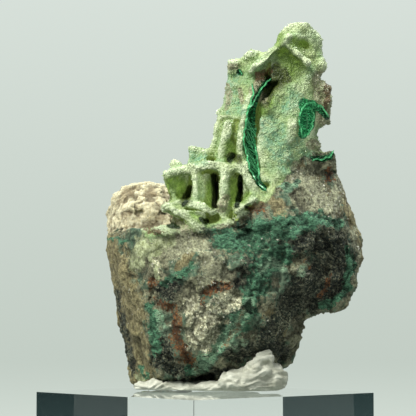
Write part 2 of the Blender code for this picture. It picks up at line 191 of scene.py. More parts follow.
studio_bowl()
for side_name, side in (("left", -1), ("right", 1)):
    dark_cloth("dark_floor_" + side_name,
                        place=(side * 0.42, -0.12, 0.001), size=(0.66, 0.60), turn=0.0)
    dark_cloth("dark_screen_" + side_name,
                        place=(side * 0.75, -0.12, 0.20), size=(0.40, 0.60), turn=math.pi / 2)
soft_light("key_light", place=(-0.24, -0.26, 0.40), aim=(0, 0, 0.045), size=0.26, power=4.2,
           colour=(1.0, 0.985, 0.94))
soft_light("top_light", place=(0.12, 0.06, 0.48), aim=(0, 0, 0.05), size=0.26, power=2.4,
           colour=(0.97, 1.0, 0.99))

world = bpy.data.worlds.new("studio_sky")
bpy.context.scene.world = world
world.use_nodes = True
sky = world.node_tree.nodes["Background"]
sky.inputs["Color"].default_value = (*SKY_COLOUR, 1.0)
sky.inputs["Strength"].default_value = SKY_STRENGTH
bpy.context.scene.view_settings.view_transform = "Standard"


# The stone: one broken lump of copper ore with a grown tower of quartz-coated plates. Its mesh is the packed
# solid's, fused again on a fine grid, then carved and roughened: splintery on the rock, sugary on the tower.
STONE_VOXEL = 0.25
STONE_SMOOTHING = 3
STONE_TRIANGLES = 196000
HULL_TOP = cad_box[1][2] / MM
HULL_GAP = 0.05
RELIEF_SEED = 5
RIM_ROUNDS = 24
EDGE_ROUNDS = 12
SIGHT_START = 0.5
CELL_BACK = 6.0
HOLLOW_START = 0.12
HOLLOW_REACH = 4.0
HOLLOW_RAYS = 14
HOLLOW_SEED = 5

# The photograph's frame: its width and the lens's focal length in pixels, and its right and up directions.
FRAME_PX = 416
FOCAL_PX = LENS / SENSOR * FRAME_PX
RIGHT = LOOK.cross(Vector((0, 0, 1))).normalized()
UP = RIGHT.cross(LOOK)

# Where the tower's druse ends and the stone's colours lie in that frame, with the painted shadows in the
# tower's gaps and hollows and the faces that get painted light.
# A trail has the column, the row and the half width, in pixels, of each point along it.
DRUSE_FOOT_PX = ((120, 226), (150, 238), (168, 235), (200, 230), (236, 220), (252, 210), (266, 202),
                 (280, 184), (292, 166), (300, 156), (314, 152), (345, 148))
TRAILS_PX = {
    "malachite": (
        ((264, 84, 2), (257, 97, 3), (252, 108, 4), (250, 125, 5), (250, 145, 5), (253, 165, 4),
         (258, 180, 3)),
        ((304, 104, 6), (308, 112, 8), (307, 124, 8), (303, 134, 5)),
        ((304, 103, 3), (313, 103, 3), (320, 110, 3), (327, 117, 3)),
        ((312, 158, 2), (322, 159, 3), (330, 157, 3), (334, 151, 2)),
        ((239, 72, 3), (241, 74, 2)),
        ((258, 182, 3), (264, 188, 3)),
    ),
    "teal": (
        ((264, 188, 3), (276, 184, 4), (290, 187, 4), (298, 182, 3)),
        ((224, 242, 12), (246, 240, 18), (268, 230, 14), (292, 224, 11), (318, 219, 8), (338, 224, 5)),
        ((280, 252, 14), (266, 266, 13), (256, 284, 12), (248, 302, 10), (240, 320, 9)),
        ((240, 320, 9), (228, 336, 9), (214, 350, 8), (202, 364, 8), (190, 370, 6)),
        ((150, 308, 6), (156, 318, 8), (158, 334, 6), (156, 352, 5)),
        ((164, 283, 4), (178, 275, 4), (190, 268, 4)),
        ((347, 246, 3), (350, 266, 4), (347, 286, 4), (336, 300, 4), (322, 307, 3)),
        ((109, 241, 1), (119, 241, 2), (130, 242, 1)),
        ((140, 368, 3), (146, 376, 3)),
    ),
    "dark": (
        ((286, 242, 10), (312, 240, 16), (336, 246, 14), (342, 268, 12), (332, 288, 12), (312, 304, 9)),
        ((318, 268, 12), (296, 300, 14), (278, 322, 14), (264, 342, 12), (282, 352, 9)),
        ((160, 340, 9), (162, 358, 11), (178, 374, 7), (204, 376, 6), (230, 370, 5)),
        ((250, 262, 6), (242, 276, 7), (236, 286, 5)),
        ((168, 296, 7), (160, 290, 6), (176, 288, 6)),
        ((162, 286, 3), (176, 278, 3), (190, 271, 3)),
        ((222, 352, 5), (238, 356, 8), (250, 348, 8)),
        ((116, 292, 3), (121, 318, 3), (127, 346, 3), (133, 374, 3)),
        ((258, 186, 3), (264, 190, 3)),
    ),
    "rust": (
        ((205, 292, 5), (216, 288, 7), (228, 287, 5)),
        ((204, 306, 4), (200, 300, 3)),
        ((156, 300, 2), (166, 306, 5), (173, 314, 3), (178, 326, 5), (175, 338, 3)),
        ((176, 342, 6), (183, 352, 8), (190, 362, 5), (195, 367, 4)),
        ((244, 308, 3), (240, 320, 3), (226, 344, 3)),
        ((262, 206, 4), (254, 210, 3)),
        ((268, 68, 3), (262, 72, 4), (258, 78, 3)),
        ((331, 172, 4), (328, 182, 3)),
        ((330, 84, 4), (327, 98, 4), (320, 112, 3)),
        ((304, 262, 2), (310, 270, 2)),
        ((330, 276, 2), (324, 290, 2), (318, 298, 2)),
        ((148, 228, 5), (158, 231, 4)),
        ((155, 278, 4), (152, 288, 3)),
    ),
    "cream": (
        ((190, 306, 9), (206, 318, 14), (200, 336, 13), (208, 350, 6)),
        ((222, 304, 9), (238, 302, 5)),
        ((156, 262, 3), (160, 268, 3)),
    ),
    "quartz": (
        ((208, 260, 8), (216, 270, 11), (206, 282, 7)),
        ((298, 178, 10), (316, 192, 12), (330, 206, 9)),
        ((296, 268, 4), (308, 276, 5), (304, 288, 3)),
        ((353, 232, 4), (357, 250, 3), (355, 272, 3)),
        ((172, 252, 8), (186, 246, 8), (204, 242, 8)),
        ((336, 180, 5), (340, 200, 5)),
    ),
    "yellow": (
        ((136, 262, 9), (144, 250, 13), (156, 244, 11), (168, 240, 8)),
        ((140, 378, 4), (146, 384, 4)),
        ((158, 276, 4), (157, 268, 4)),
    ),
    "tan": (
        ((295, 160, 5), (300, 167, 4)),
        ((104, 244, 14), (112, 262, 18), (122, 290, 20), (130, 320, 18), (134, 350, 17), (142, 380, 14)),
        ((342, 180, 6), (350, 212, 6), (358, 240, 4), (360, 262, 4)),
        ((190, 256, 6), (178, 264, 5)),
        ((270, 314, 7), (286, 322, 7), (278, 334, 5)),
        ((276, 204, 7), (284, 218, 5)),
        ((298, 178, 7), (318, 190, 12), (334, 208, 9)),
    ),
    "tint": (
        ((227, 76, 4), (232, 92, 5), (229, 112, 5)),
        ((268, 124, 10), (276, 142, 14), (284, 158, 12)),
        ((298, 94, 6), (286, 108, 8)),
        ((236, 96, 5), (240, 112, 5)),
        ((190, 156, 7), (202, 158, 6)),
        ((298, 144, 7), (310, 154, 5)),
        ((232, 84, 5), (236, 78, 5)),
    ),
    "lime": (
        ((168, 182, 7), (180, 184, 9), (184, 194, 7)),
        ((210, 184, 4), (211, 204, 4)),
        ((234, 182, 4), (234, 202, 4)),
        ((230, 146, 6), (231, 156, 7)),
        ((282, 54, 8), (293, 66, 9), (284, 78, 8)),
        ((294, 44, 6), (303, 43, 5)),
        ((280, 36, 5), (278, 44, 4)),
        ((192, 214, 5), (202, 220, 4)),
        ((272, 88, 6), (269, 99, 6), (264, 112, 5)),
        ((248, 194, 4), (244, 200, 4)),
    ),
    # Painted shadow: near black in the deep gaps between the boxwork's plates and under its ledges.
    "gap": (
        ((214, 176, 3), (215, 190, 3), (214, 206, 3)),
        ((240, 178, 3), (240, 192, 3), (237, 206, 3)),
        ((187, 201, 2), (184, 204, 2)),
        ((263, 80, 3), (267, 84, 3)),
        ((170, 225, 4), (178, 228, 3)),
        ((247, 208, 2), (252, 209, 2)),
        ((206, 222, 3), (200, 218, 2)),
        ((230, 161, 3), (232, 156, 3)),
    ),
    # Painted shadow: dark olive under the roof's overhang and in the shaded sides of the cells.
    "painted_shadow": (
        ((262, 78, 8), (270, 86, 8), (280, 80, 8), (276, 68, 6)),
        ((284, 72, 5), (288, 80, 4)),
        ((268, 90, 6), (265, 104, 4)),
        ((238, 160, 4), (230, 156, 4)),
        ((186, 200, 5), (190, 188, 3)),
    ),
    "greyed": (
        ((260, 84, 5), (254, 90, 5), (262, 98, 5)),
        ((321, 80, 9), (325, 98, 10), (325, 118, 8)),
        ((312, 144, 5), (318, 148, 4)),
        ((222, 206, 5), (226, 198, 3)),
        ((297, 166, 6), (305, 171, 5)),
        ((236, 66, 3), (230, 66, 3)),
        ((226, 86, 3), (230, 96, 3), (226, 108, 2)),
        ((240, 90, 2), (242, 102, 2)),
        ((176, 224, 5), (188, 232, 5)),
    ),
    "pale_teal": (
        ((264, 188, 3), (276, 184, 4), (290, 187, 4), (298, 182, 3)),
        ((250, 300, 5), (240, 320, 6), (228, 336, 8), (214, 350, 9), (202, 364, 8), (196, 370, 6)),
        ((160, 312, 4), (164, 324, 4), (166, 334, 3)),
        ((262, 268, 5), (272, 262, 4), (284, 270, 4)),
        ((306, 268, 5), (302, 276, 4)),
        ((234, 346, 5), (246, 340, 4)),
    ),
    # Painted light: faces that glow, on the rock's underside, in the malachite notch and on the cells'
    # plates.
    "painted_light": (
        ((244, 322, 7), (224, 344, 9), (204, 362, 9)),
        ((266, 314, 8), (286, 322, 9), (276, 334, 7)),
        ((304, 104, 7), (307, 120, 8), (304, 134, 5)),
        ((306, 104, 4), (318, 106, 4)),
        ((198, 178, 6), (201, 192, 7), (204, 206, 6)),
        ((224, 178, 3), (226, 192, 3)),
        ((170, 182, 4), (178, 186, 5)),
    ),
}

# Low relief that the solid leaves out: the height of each trail in mm, towards the camera or away from it.
CARVING_PX = (
    (0.50, ((289, 36, 3), (281, 46, 3), (271, 58, 3), (259, 66, 3))),
    (0.50, ((288, 47, 3), (298, 56, 3), (308, 66, 3))),
    (-0.35, ((295, 44, 6), (307, 47, 7))),
    (0.50, ((264, 104, 4), (267, 110, 4))),
    (0.35, ((218, 118, 2), (228, 117, 2), (240, 118, 2))),
    (-0.35, ((228, 74, 3), (246, 84, 4))),
    (-0.45, ((239, 72, 2), (241, 74, 2))),
    (-0.30, ((284, 100, 5), (276, 116, 5))),
    (0.35, ((292, 122, 5), (290, 138, 5))),
    (-0.40, ((150, 300, 3), (166, 314, 3), (176, 332, 4), (190, 362, 4))),
    (-0.55, ((247, 306, 3), (236, 326, 3), (214, 350, 3), (200, 366, 3))),
    (-0.45, ((206, 291, 4), (216, 288, 5), (228, 288, 4))),
    (-0.70, ((268, 310, 5), (282, 318, 6), (276, 328, 5))),
    (0.50, ((296, 268, 5), (308, 278, 5))),
    (0.45, ((190, 316, 8), (204, 334, 9))),
    (-0.45, ((156, 276, 3), (152, 292, 3))),
    (0.50, ((235, 213, 2), (245, 206, 2), (255, 200, 3))),
    (-0.60, ((244, 211, 2), (252, 208, 2))),
    (0.45, ((140, 250, 7), (158, 240, 7))),
    (-0.50, ((116, 284, 3), (122, 318, 3), (130, 352, 3))),
    (-0.45, ((284, 236, 4), (300, 250, 4), (296, 262, 3))),
    (-0.50, ((322, 232, 3), (330, 252, 4), (326, 272, 4))),
    (0.40, ((240, 232, 4), (262, 224, 4), (284, 214, 4))),
    (-0.40, ((200, 236, 3), (222, 232, 3), (246, 222, 3))),
    (-0.45, ((336, 222, 3), (345, 246, 3), (346, 276, 3), (334, 298, 3))),
    (0.40, ((244, 262, 5), (236, 276, 5))),
    (-0.40, ((226, 262, 3), (224, 276, 3), (230, 284, 3))),
)

# The plates between the cells of the boxwork, seen aslant: left, right, top and bottom in pixels, and how
# deep in mm their faces lie at the left and at the right.
CELL_FACES_PX = (
    (167, 190, 176, 203, -3.0, 0.2),
    (195, 215, 174, 210, -4.2, -0.6),
    (222, 241, 173, 210, -4.4, -0.8),
    (242, 254, 184, 206, -3.6, -1.4),
    (223, 237, 140, 164, -2.2, -0.6),
    (185, 206, 213, 224, -6.4, -4.8),
    (233, 256, 203, 230, -5.4, -4.6),
    (270, 300, 52, 84, -0.6, -0.2),
)

# What the stone's vertex colours hold, up to three masks in each.
ZONE_LAYERS = {
    "zones_a": ("druse", "cream_lump", "malachite"),
    "zones_b": ("teal", "dark", "rust"),
    "zones_c": ("cream", "quartz", "yellow"),
    "zones_d": ("tan", "tint", "hidden"),
    "zones_e": ("lime", "gap", "greyed"),
    "zones_f": ("crest", "edge", "painted_shadow"),
    "zones_g": ("pale_teal", "painted_light"),
}


def chosen(*objects):
    """Selects these objects alone and makes the first one active."""
    bpy.ops.object.select_all(action="DESELECT")
    for obj in objects:
        obj.select_set(True)
    bpy.context.view_layer.objects.active = objects[0]


def apply_modifier(piece, kind, **settings):
    modifier = piece.modifiers.new(kind.lower(), kind)
    for name, value in settings.items():
        setattr(modifier, name, value)
    chosen(piece)
    bpy.ops.object.modifier_apply(modifier=modifier.name)


def linked(name, mesh):
    """A new object in the scene that shows the mesh."""
    piece = bpy.data.objects.new(name, mesh)
    bpy.context.collection.objects.link(piece)
    return piece


def merged_copy(name, node):
    """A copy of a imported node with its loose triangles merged."""
    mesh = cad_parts[node].data.copy()
    mesh.name = name
    mesh.materials.clear()
    piece = linked(name, mesh)
    chosen(piece)
    bpy.ops.object.mode_set(mode="EDIT")
    bpy.ops.mesh.select_all(action="SELECT")
    bpy.ops.mesh.remove_doubles(threshold=1e-7)
    bpy.ops.object.mode_set(mode="OBJECT")
    return piece


def places(mesh):
    """The mesh's vertices, in mm, one row each."""
    flat = np.empty(len(mesh.vertices) * 3, np.float32)
    mesh.vertices.foreach_get("co", flat)
    return flat.reshape(-1, 3).astype(float) / MM


def facings(mesh):
    flat = np.empty(len(mesh.vertices) * 3, np.float32)
    mesh.vertex_normals.foreach_get("vector", flat)
    return flat.reshape(-1, 3).astype(float)


def put_places(mesh, points):
    mesh.vertices.foreach_set("co", (points * MM).astype(np.float32).ravel())
    mesh.update()


noise.seed_set(RELIEF_SEED)


def lumps(points, size, shift=0.0):
    """Smooth noise from about -1 to 1 at each point; size, in mm, may differ along X, Y and Z."""
    return np.array([noise.noise(p) for p in (points / np.array(size) + shift).tolist()]) * 1.6


def ridges(points, size, shift=0.0):
    """Sharp-crested noise from 0 to 1."""
    return 1.0 - np.abs(lumps(points, size, shift)) * 1.5


def grains(points, size, shift=0.0):
    """Packed rounded grains: 1 at a grain's middle, falling to 0 between grains."""
    near = [noise.voronoi(p)[0][0] for p in (points / size + shift).tolist()]
    return 1.0 - np.clip(np.array(near), 0.0, 1.0)


def facets(points, size, shift=0.0):
    """Broken faces: each cell of a random packing is set off and tilted its own way."""
    found = []
    for p in (points / size + shift).tolist():
        middle = noise.voronoi(p)[1][0]
        tilt = noise.noise_vector(middle * 5.7)
        found.append((Vector(p) - middle).dot(tilt) * 2 + noise.noise(middle * 3.1))
    return np.array(found)


def soft_step(values, low, high):
    t = np.clip((values - low) / (high - low), 0.0, 1.0)
    return t * t * (3 - 2 * t)


def photo_px(points):
    """Where points, in mm, show in the photograph's frame: their pixel columns and rows."""
    away = points - np.array(EYE)
    depth = away @ np.array(LOOK)
    column = FRAME_PX / 2 + FOCAL_PX * (away @ np.array(RIGHT)) / depth
    row = FRAME_PX / 2 - FOCAL_PX * (away @ np.array(UP)) / depth
    return column, row


def nearness(column, row, trails):
    """How well each point lies on any of the trails: 1 inside, 0.5 on the edge, 0 well off it."""
    best = np.zeros(len(column))
    for trail in trails:
        for start, end in zip(trail, trail[1:]):
            run = np.array((end[0] - start[0], end[1] - start[1]), float)
            along = ((column - start[0]) * run[0] + (row - start[1]) * run[1]) / max(run @ run, 1e-9)
            along = np.clip(along, 0.0, 1.0)
            away = np.hypot(column - start[0] - along * run[0], row - start[1] - along * run[1])
            width = start[2] + (end[2] - start[2]) * along
            best = np.maximum(best, np.clip(1.5 - away / width, 0.0, 1.0))
    return best


def shelter(tree, points, normals):
    """How far each vertex is hidden in a hollow, from 0 in the open to 1, by rays that look for stone."""
    chance = random.Random(HOLLOW_SEED)
    spread = [Vector([chance.gauss(0, 1) for _ in range(3)]).normalized() for _ in range(HOLLOW_RAYS)]
    hidden = np.zeros(len(points))
    for index, (point, normal) in enumerate(zip(points.tolist(), normals.tolist())):
        normal = Vector(normal)
        start = Vector(point) + normal * HOLLOW_START
        rays = (tree.ray_cast(start, (normal * 1.05 + ray).normalized(), HOLLOW_REACH)[0] for ray in spread)
        hidden[index] = sum(hit is not None for hit in rays) / HOLLOW_RAYS
    return hidden


def in_sight(tree, points):
    """1 for each point that the eye sees, 0 for each that the stone hides from it."""
    seen = np.zeros(len(points))
    for index, point in enumerate(points.tolist()):
        way = (EYE - Vector(point)).normalized()
        seen[index] = tree.ray_cast(Vector(point) + way * SIGHT_START, way)[0] is None
    return seen


def convexity(mesh, points, normals, rounds):
    """How far each vertex stands out, in mm, from the mesh smoothed a number of times."""
    ends = np.empty(len(mesh.edges) * 2, np.int32)
    mesh.edges.foreach_get("vertices", ends)
    first, second = ends.reshape(-1, 2).T
    one, other = np.concatenate([first, second]), np.concatenate([second, first])
    links = np.maximum(np.bincount(one, minlength=len(points)), 1)
    smooth = points.copy()
    for _ in range(rounds):
        sums = [np.bincount(one, smooth[other, k], len(points)) for k in range(3)]
        smooth = np.stack(sums, axis=1) / links[:, None]
    return ((points - smooth) * normals).sum(axis=1)


def solid_tree(mesh, points):
    return BVHTree.FromPolygons(points.tolist(), [tuple(p.vertices) for p in mesh.polygons])


def paint(mesh, name, masks):
    """Stores up to three masks as one vertex colour."""
    layer = mesh.color_attributes.new(name, "FLOAT_COLOR", "POINT")
    values = np.ones((len(masks[0]), 4), np.float32)
    for index, mask in enumerate(masks):
        values[:, index] = mask
    layer.data.foreach_set("color", values.ravel())


def zone_masks(points):
    """The share of each colour zone at each point, its edges broken up by noise."""
    warp = np.stack([lumps(points, 3.0, 7.0), lumps(points, 3.0, 19.0)], axis=1) * 3.0
    warp += np.stack([lumps(points, 0.9, 31.0), lumps(points, 0.9, 43.0)], axis=1) * 2.0
    clean = photo_px(points)
    column, row = clean[0] + warp[:, 0], clean[1] + warp[:, 1]
    foot = np.array(DRUSE_FOOT_PX, float)
    over_foot = np.interp(column, foot[:, 0], foot[:, 1]) - row
    cream_lump = soft_step(points[:, 1] - 3.6, 0.0, 0.8) * soft_step(-4.2 - points[:, 0], 0.0, 1.0)
    cream_lump *= soft_step(points[:, 2] - 44.4 + warp[:, 1] * 0.15, 0.0, 0.8)
    druse = soft_step(over_foot, -8.0, 6.0) * (1 - cream_lump) * soft_step(column - 140, -6.0, 6.0)
    masks = {"druse": druse, "cream_lump": cream_lump}
    masks["malachite"] = nearness(*clean, TRAILS_PX["malachite"]) * soft_step(3.5 - points[:, 1], 0.0, 1.5)
    masks["painted_light"] = nearness(*clean, TRAILS_PX["painted_light"])
    for name in ("teal", "dark", "rust", "cream", "quartz", "yellow", "tan", "tint", "pale_teal"):
        masks[name] = nearness(column, row, TRAILS_PX[name])
    light_warp = (clean[0] + warp[:, 0] * 0.35, clean[1] + warp[:, 1] * 0.35)
    for name in ("lime", "gap", "greyed", "painted_shadow"):
        masks[name] = nearness(*light_warp, TRAILS_PX[name]) * druse
    return masks


def carve(stone):
    """Brings the cell faces forward and adds the low relief, where the eye sees the stone."""
    points = places(stone.data)
    seen = in_sight(solid_tree(stone.data, points), points)
    column, row = photo_px(points)
    for left, right, top, bottom, near_left, near_right in CELL_FACES_PX:
        inside = soft_step(column, left - 1, left + 1) * soft_step(-column, -right - 1, -right + 1)
        inside *= soft_step(row, top - 1, top + 1) * soft_step(-row, -bottom - 1, -bottom + 1)
        inside *= (points[:, 1] < CELL_BACK)
        face = near_left + (near_right - near_left) * np.clip((column - left) / (right - left), 0, 1) ** 2
        points[:, 1] -= np.maximum(points[:, 1] - face, 0.0) * inside
    for height, trail in CARVING_PX:
        points[:, 1] -= height * soft_step(nearness(column, row, (trail,)), 0.1, 1.0) * seen
    put_places(stone.data, points)


def roughen_stone(stone):
    """Splinters the rock, sugars the tower and pits the cream lump; gives how far each vertex went out."""
    points, normals = places(stone.data), facings(stone.data)
    masks = zone_masks(points)
    lump, druse, fine_druse = masks["cream_lump"], masks["druse"], 1 - masks["lime"] * 0.6
    rock = np.clip(1 - druse - lump, 0, 1)
    fibrous = np.clip(masks["teal"] + masks["dark"], 0, 1)
    bend = points + np.stack([lumps(points, 2.0, k) for k in (61.0, 71.0, 81.0)], axis=1) * 0.9
    worn = rock * (1 - 0.55 * np.clip(masks["tan"] + masks["quartz"] + masks["yellow"], 0, 1))
    push = worn * (0.42 * facets(points, 4.2) + 0.20 * facets(bend, 1.7, 3.0)
                   + 0.10 * (ridges(bend, 1.2, 5.0) - 0.5))
    push += worn * (0.17 * facets(points, 0.75, 15.0) + 0.06 * lumps(points, 0.5, 15.0))
    push += rock * fibrous * 0.16 * lumps(bend, (1.6, 1.2, 0.42), 3.0)
    push += rock * masks["cream"] * 0.20 * (grains(points, 0.7, 2.0) - 0.4)
    push += druse * fine_druse * (0.20 * lumps(points, 1.6, 11.0) + 0.14 * (grains(points, 0.8, 4.0) - 0.5))
    push += druse * fine_druse * (0.12 * facets(points, 1.4, 41.0) + 0.08 * facets(points, 0.5, 14.0))
    push += druse * masks["greyed"] * 0.50 * (grains(points, 1.1, 24.0) - 0.5)
    push += druse * masks["greyed"] * 0.30 * facets(points, 1.0, 17.0)
    push += lump * (0.18 * lumps(points, 2.0, 2.0) + 0.10 * (grains(points, 1.1, 8.0) - 0.6))
    push += lump * (0.30 * facets(points, 1.5, 44.0) + 0.18 * facets(points, 0.7, 33.0))
    push *= 1 - np.clip(masks["malachite"] * 1.6, 0, 1) * 0.9
    points += normals * push[:, None]
    points[:, 2] = np.minimum(points[:, 2], HULL_TOP - HULL_GAP)
    put_places(stone.data, points)
    return np.clip(0.5 + push * 1.1, 0, 1)


def thin_unseen(stone):
    """Thins the mesh where the eye doesn't see it, down to the triangle limit."""
    points = places(stone.data)
    seen = in_sight(solid_tree(stone.data, points), points)
    group = stone.vertex_groups.new(name="unseen")
    group.add([int(k) for k in np.flatnonzero(seen < 0.5)], 1.0, "REPLACE")
    apply_modifier(stone, "TRIANGULATE")
    share = STONE_TRIANGLES / len(stone.data.polygons)
    if share < 1.0:
        apply_modifier(stone, "DECIMATE", ratio=share, vertex_group="unseen", vertex_group_factor=1.0)
    stone.vertex_groups.clear()


def make_stone():
    stone = merged_copy("copper_ore_stone", "specimen")
    apply_modifier(stone, "REMESH", mode="VOXEL", voxel_size=STONE_VOXEL * MM)
    apply_modifier(stone, "SMOOTH", factor=0.5, iterations=STONE_SMOOTHING)
    thin_unseen(stone)
    carve(stone)
    rims = convexity(stone.data, places(stone.data), facings(stone.data), RIM_ROUNDS)
    rims = np.clip(0.5 + rims * 1.3, 0, 1)
    crest = roughen_stone(stone)
    chosen(stone)
    bpy.ops.object.shade_smooth()
    points, normals = places(stone.data), facings(stone.data)
    masks = zone_masks(points)
    standing = np.clip(0.5 + convexity(stone.data, points, normals, EDGE_ROUNDS) * 1.8, 0, 1)
    standing += (rims * 0.8 + standing * 0.2 - standing) * masks["druse"]
    masks |= {"hidden": shelter(solid_tree(stone.data, points), points, normals), "crest": crest,
              "edge": standing}
    for layer, names in ZONE_LAYERS.items():
        paint(stone.data, layer, [masks[name] for name in names])
    return stone


def add_node(tree, kind, **settings):
    """Adds a shader node; each setting is a property of the node or feeds one of its inputs."""
    node = tree.nodes.new(kind)
    for name, value in settings.items():
        if hasattr(node, name):
            setattr(node, name, value)
        else:
            feed(tree, node, {name: value})
    return node


def math_node(tree, operation, *values):
    node = add_node(tree, "ShaderNodeMath", operation=operation)
    feed(tree, node, dict(enumerate(values)))
    return node.outputs[0]


def product(tree, first, second):
    return math_node(tree, "MULTIPLY", first, second)


def ranged(tree, value, low, high, to_low=0.0, to_high=1.0):
    """Maps a value's range to another one, smoothly and with both ends held."""
    node = add_node(tree, "ShaderNodeMapRange", interpolation_type="SMOOTHSTEP", Value=value)
    feed(tree, node, {"From Min": low, "From Max": high, "To Min": to_low, "To Max": to_high})
    return node.outputs[0]


def scaled(tree, colour, factor):
    """A colour times a value."""
    grey = add_node(tree, "ShaderNodeCombineColor", Red=factor, Green=factor, Blue=factor)
    return mixed(tree, 1.0, colour, grey.outputs[0], "MULTIPLY")


def noise_node(tree, where, size, detail=4.0, roughness=0.55, stretch=None, distortion=0.0):
    """Fractal noise with lumps of a size in mm; stretch scales the pattern along each axis."""
    if stretch:
        where = add_node(tree, "ShaderNodeMapping", Vector=where, Scale=stretch).outputs["Vector"]
    node = add_node(tree, "ShaderNodeTexNoise", Vector=where, Scale=1.0 / (size * MM), Detail=detail,
                    Roughness=roughness, Distortion=distortion)
    return node.outputs["Fac"]


def cells_node(tree, where, size, output="Distance"):
    node = add_node(tree, "ShaderNodeTexVoronoi", Vector=where, Scale=1.0 / (size * MM))
    return node.outputs[output]


def new_group(name, **inputs):
    """A shader node group that puts out a colour, with its named inputs' sockets and its last node."""
    group = bpy.data.node_groups.new(name, "ShaderNodeTree")
    for label, kind in inputs.items():
        group.interface.new_socket(label, in_out="INPUT", socket_type="NodeSocket" + kind)
    group.interface.new_socket("Colour", in_out="OUTPUT", socket_type="NodeSocketColor")
    return group, group.nodes.new("NodeGroupInput").outputs, group.nodes.new("NodeGroupOutput")


def grown_patch():
    """Lays a mineral, in two mixed shades, over what is under it, as far as a mask and a breakup allow."""
    group, given, result = new_group("grown_patch", Under="Color", Dark="Color", Light="Color",
                                     Mask="Float", Breakup="Float", Shade="Float")
    ragged = math_node(group, "MULTIPLY_ADD", given["Breakup"], 0.9, -0.45)
    edge = math_node(group, "ADD", given["Mask"], ragged)
    share = ranged(group, edge, 0.36, 0.66)
    share = product(group, share, ranged(group, given["Mask"], 0.05, 0.20))
    shade = mixed(group, given["Shade"], given["Dark"], given["Light"])
    group.links.new(mixed(group, share, given["Under"], shade), result.inputs["Colour"])
    return group


GROWN_PATCH = grown_patch()

# The dark and the light shade of each mineral, and the single colours of the marks among them.
MINERALS = {
    "rock": ((0.048, 0.050, 0.028), (0.25, 0.255, 0.150)),
    "tan": ((0.090, 0.078, 0.033), (0.315, 0.285, 0.145)),
    "quartz": ((0.13, 0.13, 0.072), (0.46, 0.48, 0.31)),
    "dark": ((0.011, 0.018, 0.012), (0.21, 0.215, 0.135)),
    "teal": ((0.006, 0.034, 0.020), (0.100, 0.262, 0.140)),
    "rust": ((0.034, 0.017, 0.009), (0.34, 0.145, 0.042)),
    "cream": ((0.31, 0.31, 0.190), (0.80, 0.80, 0.56)),
    "yellow": ((0.18, 0.21, 0.085), (0.47, 0.52, 0.31)),
    "cream_lump": ((0.44, 0.385, 0.225), (0.60, 0.575, 0.40)),
    "malachite": ((0.003, 0.036, 0.012), (0.075, 0.46, 0.17)),
}
SPECK_COLOUR = (0.37, 0.37, 0.24)
VEIL_COLOUR = (0.038, 0.125, 0.080)
WISP_COLOUR = (0.22, 0.41, 0.25)
FLECK_COLOUR = (0.24, 0.115, 0.036)
STREAK_COLOUR = (0.30, 0.46, 0.29)
PIT_COLOUR = (0.36, 0.26, 0.13)
STAIN_COLOUR = (0.11, 0.065, 0.028)


def patch(tree, under, mineral, mask, breakup, shade):
    dark, light = MINERALS[mineral]
    node = add_node(tree, "ShaderNodeGroup", node_tree=GROWN_PATCH, Under=under, Dark=dark, Light=light,
                    Mask=mask, Breakup=breakup, Shade=shade)
    return node.outputs["Colour"]


# What the druse's colour depends on besides the place, and its colours: in the open, tinted, on the rims,
# where they are paler partly as painted highlight, and in hollows, where they are painted shade and painted
# shadow.
DRUSE_MASKS = ("hidden", "tint", "lime", "gap", "greyed", "edge", "painted_shadow")
DRUSE_COLOURS = ((0.315, 0.395, 0.170), (0.215, 0.345, 0.155))
MOTTLE_COLOUR = (0.155, 0.235, 0.085)
OPEN_FACE_COLOUR = (0.51, 0.58, 0.38)
TINT_COLOUR = (0.12, 0.275, 0.165)
HOLLOW_SHADE_COLOURS = ((0.10, 0.15, 0.025), (0.21, 0.28, 0.070))
LIME_COLOURS = ((0.092, 0.170, 0.022), (0.185, 0.285, 0.060))
PAINTED_SHADOW_COLOURS = ((0.020, 0.030, 0.007), (0.078, 0.102, 0.022))
GREYED_COLOURS = ((0.12, 0.105, 0.055), (0.34, 0.34, 0.22))
PAINTED_GAP_SHADOW_COLOUR = (0.014, 0.028, 0.008)


